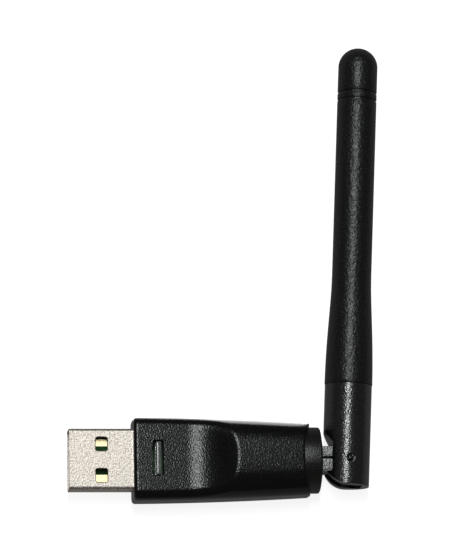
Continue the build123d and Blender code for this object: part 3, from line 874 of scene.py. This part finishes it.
SHEATH_SEAM_R = 4.68
SHEATH_R = 3.86
FLARE_TOP = 37.0
SHEATH_TOP = 82.2
SHEATH_BORE_R = 2.6
GROOVES = (71.6, 73.1)
GROOVE_WIDTH = 0.4
GROOVE_DEPTH = 0.25
GROOVE_EDGE = 0.07
GROOVE_SLOPE = 0.05
# Heights of the extra rings along the plain part of the rod and above the grooves.
ROD_RINGS = [FLARE_TOP + k * 1.7 for k in range(1, 20)]
TIP_RINGS = [74.8 + k * 0.9 for k in range(4)]
# The sheath's rounded lower edge: the height over the sleeve and the depth into the sheath.
FOOT_EDGE = ((0.0, 0.15), (0.04, 0.05), (0.15, 0.0))
# The flare's curve is drawn towards these points on its way from the seam to the rod.
FLARE_GUIDES = ((25.2, SHEATH_SEAM_R - 0.04), (30.5, SHEATH_R))
FLARE_STEPS = 40


def bezier(points, count):
    """Points along a cubic curve, after its first point."""
    a, b, c, d = (Vector(p) for p in points)
    curve = []
    for k in range(1, count + 1):
        t = k / count
        s = 1 - t
        curve.append(tuple(a * s**3 + b * (3 * s * s * t) + c * (3 * s * t * t) + d * t**3))
    return curve


def make_sheath():
    """The soft sheath: flared foot, slim rod with two grooves, round tip, hollow inside."""
    outline = [(SLEEVE_TOP, SPIGOT_R)]
    outline += [(SLEEVE_TOP + up, SHEATH_SEAM_R - depth) for up, depth in FOOT_EDGE]
    flare = [outline[-1], *FLARE_GUIDES, (FLARE_TOP, SHEATH_R)]
    outline += bezier(flare, FLARE_STEPS)
    outline += [(height, SHEATH_R) for height in ROD_RINGS]
    half = GROOVE_WIDTH / 2
    rise = [
        (half + GROOVE_EDGE, SHEATH_R),
        (half + GROOVE_EDGE / 3, SHEATH_R - GROOVE_EDGE / 3),
        (half, SHEATH_R - GROOVE_EDGE),
        (half - GROOVE_SLOPE, SHEATH_R - GROOVE_DEPTH),
    ]
    for height in GROOVES:
        outline += [(height - away, radius) for away, radius in rise]
        outline += [(height + away, radius) for away, radius in reversed(rise)]
    dome_base = SHEATH_TOP - SHEATH_R
    outline += [(height, SHEATH_R) for height in TIP_RINGS]
    outline += [(dome_base + y, x) for x, y in quarter_arc(SHEATH_R, ARC_STEPS)]
    outline += [(dome_base, 0.0), (dome_base, SHEATH_BORE_R), (SPIGOT_TOP, SHEATH_BORE_R)]
    outline += [(SPIGOT_TOP, SPIGOT_R)]
    sheath = lathe("sheath_moulded", outline, ANTENNA, "Y", BARREL_AXIS, segments=144)
    finish_piece(sheath, "sheath_elastomer", "antenna", "antenna_sheath")


# ---- Frame nodes that stay as they are ----


def dress_frame():
    """Gives every CAD node its slot's material."""
    for subpart in frame["record"]["subparts"]:
        node = frame["nodes"][subpart["node"]]
        node.data.materials.clear()
        node.data.materials.append(MATERIALS[subpart["material_slot"]])


# ---- Stage, light and camera, in metres and degrees; points are in the case frame ----

FLOOR_SIZE = 3.0
FLOOR_BLOTCH_MM = 400
VIEW_TILT_X = 6.08
VIEW_TILT_Y = 10.1
VIEW_ROLL = 0.21
VIEW_DISTANCE = 1.1
VIEW_WIDTH = 0.0882
VIEW_FAR = 10.0
SENSOR_WIDTH_MM = 36.0
VIEW_TARGET = Vector((18.74, 36.65, 0.0))
KEY_TARGET = Vector((20.0, 20.0, 0.0))
KEY_TILT_X = 5.0
KEY_TILT_Y = 17.0
KEY_DISTANCE = 1.6
KEY_WIDTH = 0.1
KEY_LENGTH = 0.92
KEY_POWER = 8.0
KEY_COLOUR = (0.95, 1.0, 0.98)
# Two opposite corners of the fill light.
FILL_LOW = Vector((-4.0, 9.5, 0.0))
FILL_HIGH = Vector((36.0, 60.0, 0.0))
FILL_HEIGHT = 0.0005
FILL_LEVEL = 2.6
BOUNCE_HEIGHT = -0.0002
FLOOR_GLOW = 0.87
BOUNCE_GLOW = 0.12
ROOM_LEVEL = 0.07


def make_floor(name, height, glow):
    """A wide pale plane that glows a little, so that it stays nearly white in the shadows."""
    mesh = bpy.data.meshes.new(name)
    half = FLOOR_SIZE / 2
    corners = [(-half, -half), (half, -half), (half, half), (-half, half)]
    mesh.from_pydata([(x, y, height) for x, y in corners], [], [(0, 1, 2, 3)])
    floor = bpy.data.objects.new(name, mesh)
    bpy.context.scene.collection.objects.link(floor)
    shader = Shader(name).set(roughness=0.9, specular_ior_level=0.1, emission_strength=glow)
    shader.surface.inputs["Emission Color"].default_value = (1, 1, 1, 1)
    shader.colour(shader.noise(FLOOR_BLOTCH_MM), [(0.3, (0.78, 0.78, 0.78)), (0.7, (0.8, 0.8, 0.8))])
    mesh.materials.append(shader.material)
    return floor


def make_floors():
    """The floor that the camera sees, and a dimmer one that the object reflects."""
    floor = make_floor("floor", 0.0, FLOOR_GLOW)
    floor.visible_diffuse = False
    floor.visible_glossy = False
    bounce = make_floor("bounce_floor", BOUNCE_HEIGHT, BOUNCE_GLOW)
    bounce.visible_camera = False
    bounce.visible_shadow = False


def make_fill():
    """A dim light on the floor behind the case, for the two covers alone."""
    size = (FILL_HIGH - FILL_LOW) * MM
    data = bpy.data.lights.new("fill", "AREA")
    data.shape = "RECTANGLE"
    data.size = size.x
    data.size_y = size.y
    data.energy = pi * size.x * size.y * FILL_LEVEL
    fill = bpy.data.objects.new("fill", data)
    middle = CASE @ ((FILL_LOW + FILL_HIGH) / 2)
    fill.location = (middle.x, middle.y, FILL_HEIGHT)
    fill.rotation_euler = (pi, 0, 0)
    fill.visible_camera = False
    bpy.context.scene.collection.objects.link(fill)
    case_only = bpy.data.collections.new("case_only")
    case_only.objects.link(bpy.data.objects["case_front"])
    case_only.objects.link(bpy.data.objects["case_back"])
    fill.light_linking.receiver_collection = case_only


def make_lights():
    """A long strip light over the object, the fill light and a dim room."""
    data = bpy.data.lights.new("key", "AREA")
    data.shape = "RECTANGLE"
    data.size = KEY_WIDTH
    data.size_y = KEY_LENGTH
    data.energy = KEY_POWER
    data.color = KEY_COLOUR
    key = bpy.data.objects.new("key", data)
    lean_x = Matrix.Rotation(radians(-KEY_TILT_X), 4, "Y")
    lean_y = Matrix.Rotation(radians(-KEY_TILT_Y), 4, "X")
    above = Matrix.Translation((0, 0, KEY_DISTANCE))
    key.matrix_world = Matrix.Translation(CASE @ KEY_TARGET) @ lean_x @ lean_y @ above
    bpy.context.scene.collection.objects.link(key)
    make_fill()
    world = bpy.data.worlds.new("studio")
    bpy.context.scene.world = world
    world.use_nodes = True
    background = world.node_tree.nodes["Background"]
    background.inputs["Color"].default_value = (ROOM_LEVEL, ROOM_LEVEL, ROOM_LEVEL, 1)


def make_camera():
    """A long lens from almost straight above, with the case level in the picture."""
    data = bpy.data.cameras.new("camera")
    data.sensor_fit = "HORIZONTAL"
    data.sensor_width = SENSOR_WIDTH_MM
    data.lens = data.sensor_width * VIEW_DISTANCE / VIEW_WIDTH
    data.clip_end = VIEW_FAR
    back = Vector((-sin(radians(VIEW_TILT_X)), -sin(radians(VIEW_TILT_Y)), 0.0))
    back.z = sqrt(1 - back.length_squared)
    right = (Vector((1, 0, 0)) - back * back.x).normalized()
    up = back.cross(right)
    turn = Matrix((right, up, back)).transposed().to_4x4()
    camera = bpy.data.objects.new("camera", data)
    target = CASE @ VIEW_TARGET
    place = Matrix.Translation(target + back * VIEW_DISTANCE)
    camera.matrix_world = place @ turn @ Matrix.Rotation(radians(VIEW_ROLL), 4, "Z")
    bpy.context.scene.collection.objects.link(camera)
    bpy.context.scene.camera = camera


make_camera()
dress_frame()
make_covers()
make_light_pipe()
make_plug_shell()
make_collar()
make_tongue(1, "tongue_left_moulded", "tongue_half_left")
make_tongue(-1, "tongue_right_moulded", "tongue_half_right")
make_pin()
make_sleeve()
make_sheath()
make_floors()
make_lights()
bpy.context.scene.view_settings.view_transform = "Standard"
